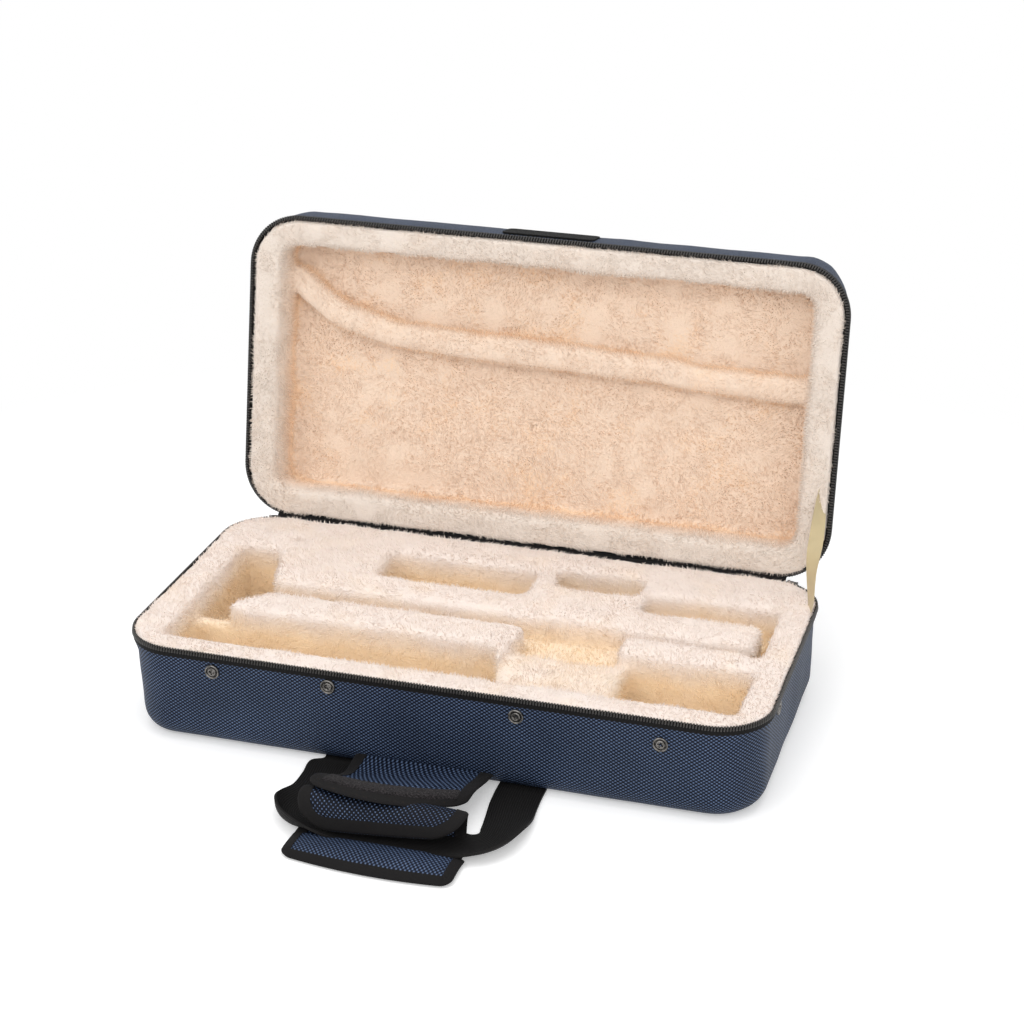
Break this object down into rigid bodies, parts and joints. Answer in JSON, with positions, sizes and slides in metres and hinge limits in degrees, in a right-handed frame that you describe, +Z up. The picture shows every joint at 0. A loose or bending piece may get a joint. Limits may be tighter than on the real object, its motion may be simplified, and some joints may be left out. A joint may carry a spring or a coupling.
{
  "type": "trumpet case",
  "caption": "Zipped soft trumpet case with a carved plush bed, a hinged lid on a stay ribbon, a padded webbing handle and a closure tab.",
  "frame": {"origin": "centre of the base's underside, on the surface it rests on", "axes": "+X along the length, to the right seen from the front; +Y to the hinge side; +Z up"},
  "size_m": [0.5625, 0.5544, 0.3702],
  "materials": {
    "navy_weave": "matte",
    "cream_plush": "matte",
    "zip_tape": "matte",
    "zip_coil": "satin",
    "black_webbing": "matte",
    "black_binding": "matte",
    "grip_mesh": "matte",
    "loop_pile": "matte",
    "hook_pile": "matte",
    "cream_ribbon": "satin",
    "gunmetal": "satin",
    "shell_board": "matte",
    "foam": "matte"
  },
  "bodies": {
    "base": {"base_bottom_panel": "navy_weave", "base_side_cover": "navy_weave", "base_shell_panel": "shell_board", "base_shell_front": "shell_board", "base_shell_rear": "shell_board", "base_shell_left_end": "shell_board", "base_shell_right_end": "shell_board", "foam_floor": "foam", "foam_front_rail": "foam", "foam_left_rail": "foam", "foam_right_rail": "foam", "foam_rear_rail": "foam", "foam_bell_ridge": "foam", "foam_valve_saddle": "foam", "foam_accessory_ridge": "foam", "foam_centre_tongue": "foam", "foam_rear_left_block": "foam", "foam_rear_dividers": "foam", "base_lining": "cream_plush", "base_zip_tape": "zip_tape", "base_zip_coil": "zip_coil", "cup_washers": "gunmetal", "cover_screws": "gunmetal", "hinge_tape": "zip_tape", "stay_ribbon": "cream_ribbon", "handle_anchors": "black_webbing", "closure_tab_root": "navy_weave"},
    "lid": {"lid_top_panel": "navy_weave", "lid_side_cover": "navy_weave", "lid_shell_panel": "shell_board", "lid_shell_front": "shell_board", "lid_shell_rear": "shell_board", "lid_shell_left_end": "shell_board", "lid_shell_right_end": "shell_board", "lid_foam_pad": "foam", "lid_ridge_foam": "foam", "lid_lining": "cream_plush", "lid_zip_tape": "zip_tape", "lid_zip_coil": "zip_coil", "lid_loop_patch": "loop_pile"},
    "slider_left": {"zip_slider_left": "gunmetal"},
    "pull_left": {"zip_pull_left": "gunmetal"},
    "slider_right": {"zip_slider_right": "gunmetal"},
    "pull_right": {"zip_pull_right": "gunmetal"},
    "handle": {"handle_webbing": "black_webbing", "grip_rear_flap": "grip_mesh", "grip_rear_binding": "black_binding", "grip_hook_strip": "hook_pile"},
    "grip_flap": {"grip_front_flap": "grip_mesh", "grip_front_binding": "black_binding"},
    "tab": {"closure_tab_panel": "navy_weave", "closure_tab_binding": "black_binding", "closure_tab_hooks": "hook_pile"}
  },
  "joints": [
    {"name": "lid_hinge", "type": "hinge", "parent": "base", "child": "lid", "pos_m": [0, 0.143, 0.089], "axis": [1, 0, 0], "range_deg": [0, 100], "deforming": ["hinge_tape", "stay_ribbon"]},
    {"name": "slider_left_run", "type": "hinge", "parent": "base", "child": "slider_left", "pos_m": [-0.233, 0.095, 0.08], "axis": [0, 0, 1], "range_deg": [0, 70]},
    {"name": "pull_left_swing", "type": "hinge", "parent": "slider_left", "child": "pull_left", "pos_m": [-0.24959, 0.14607, 0.0853], "axis": [0.9511, 0.309, 0], "range_deg": [0, 75]},
    {"name": "slider_right_run", "type": "hinge", "parent": "base", "child": "slider_right", "pos_m": [0.233, 0.095, 0.08], "axis": [0, 0, -1], "range_deg": [0, 70]},
    {"name": "pull_right_swing", "type": "hinge", "parent": "slider_right", "child": "pull_right", "pos_m": [0.24959, 0.14607, 0.0853], "axis": [0.9511, -0.309, 0], "range_deg": [0, 75]},
    {"name": "handle_swing", "type": "hinge", "parent": "base", "child": "handle", "pos_m": [0, -0.146, 0.0021], "axis": [-1, 0, 0], "range_deg": [0, 55]},
    {"name": "grip_flap_lift", "type": "hinge", "parent": "handle", "child": "grip_flap", "pos_m": [0, -0.264, 0.0086], "axis": [-1, 0, 0], "range_deg": [0, 60]},
    {"name": "tab_lift", "type": "hinge", "parent": "base", "child": "tab", "pos_m": [0, -0.1444, 0.0146], "axis": [-1, 0, 0], "range_deg": [0, 68.75]}
  ],
  "couplings": [
    {"joint": "tab_lift", "follows": "handle_swing", "ratio": 1.25}
  ]
}
